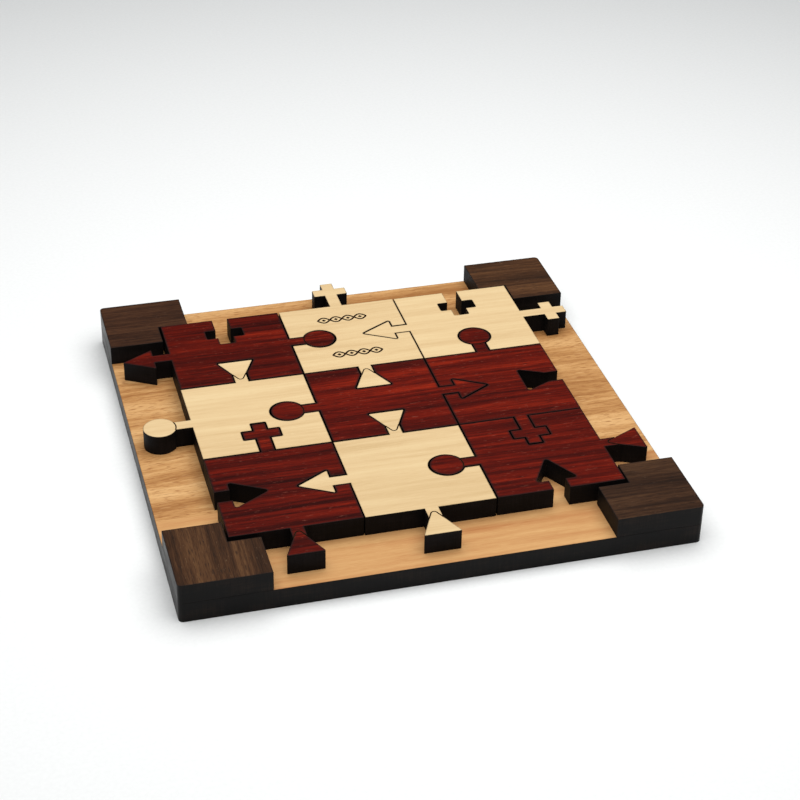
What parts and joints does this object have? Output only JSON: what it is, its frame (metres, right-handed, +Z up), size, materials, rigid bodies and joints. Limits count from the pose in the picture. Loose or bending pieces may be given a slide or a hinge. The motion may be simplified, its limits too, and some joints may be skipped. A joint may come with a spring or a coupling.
{
  "type": "edge-matching puzzle",
  "caption": "Wooden edge-matching puzzle: square tiles with cross, circle, arrow and triangle tabs and sockets, lying loose on a square tray between notched corner blocks.",
  "frame": {"origin": "centre of the tray's underside, which is the centre of the bottom of the bounding box", "axes": "+X to the right along the front edge, +Y to the back, +Z up, normal to the tray"},
  "size_m": [0.144, 0.144, 0.012],
  "materials": {
    "beech": "thin clear oil, fine flecks along X, laser-charred edges",
    "walnut": "thin clear oil, open straight grain, laser-charred edges",
    "maple": "thin clear oil, faint grain along X, laser-charred edges",
    "padauk": "satin clear oil, strong dark streaks along X, laser-charred edges"
  },
  "bodies": {
    "tray": {"tray_board": "beech", "corner_block_back_right": "walnut", "corner_block_back_left": "walnut", "corner_block_front_left": "walnut", "corner_block_front_right": "walnut"},
    "tile_back_left": {"tile_back_left": "padauk"},
    "tile_back_centre": {"tile_back_centre": "maple"},
    "tile_back_right": {"tile_back_right": "maple"},
    "tile_middle_left": {"tile_middle_left": "maple"},
    "tile_middle_centre": {"tile_middle_centre": "padauk"},
    "tile_middle_right": {"tile_middle_right": "padauk"},
    "tile_front_left": {"tile_front_left": "padauk"},
    "tile_front_centre": {"tile_front_centre": "maple"},
    "tile_front_right": {"tile_front_right": "padauk"}
  },
  "joints": [
    {"name": "tile_back_left_lift", "type": "slide", "parent": "tray", "child": "tile_back_left", "axis": [0, 0, 1], "range_m": [0, 0.03]},
    {"name": "tile_back_centre_lift", "type": "slide", "parent": "tray", "child": "tile_back_centre", "axis": [0, 0, 1], "range_m": [0, 0.03]},
    {"name": "tile_back_right_lift", "type": "slide", "parent": "tray", "child": "tile_back_right", "axis": [0, 0, 1], "range_m": [0, 0.03]},
    {"name": "tile_middle_left_lift", "type": "slide", "parent": "tray", "child": "tile_middle_left", "axis": [0, 0, 1], "range_m": [0, 0.03]},
    {"name": "tile_middle_centre_lift", "type": "slide", "parent": "tray", "child": "tile_middle_centre", "axis": [0, 0, 1], "range_m": [0, 0.03]},
    {"name": "tile_middle_right_lift", "type": "slide", "parent": "tray", "child": "tile_middle_right", "axis": [0, 0, 1], "range_m": [0, 0.03]},
    {"name": "tile_front_left_lift", "type": "slide", "parent": "tray", "child": "tile_front_left", "axis": [0, 0, 1], "range_m": [0, 0.03]},
    {"name": "tile_front_centre_lift", "type": "slide", "parent": "tray", "child": "tile_front_centre", "axis": [0, 0, 1], "range_m": [0, 0.03]},
    {"name": "tile_front_right_lift", "type": "slide", "parent": "tray", "child": "tile_front_right", "axis": [0, 0, 1], "range_m": [0, 0.03]}
  ]
}
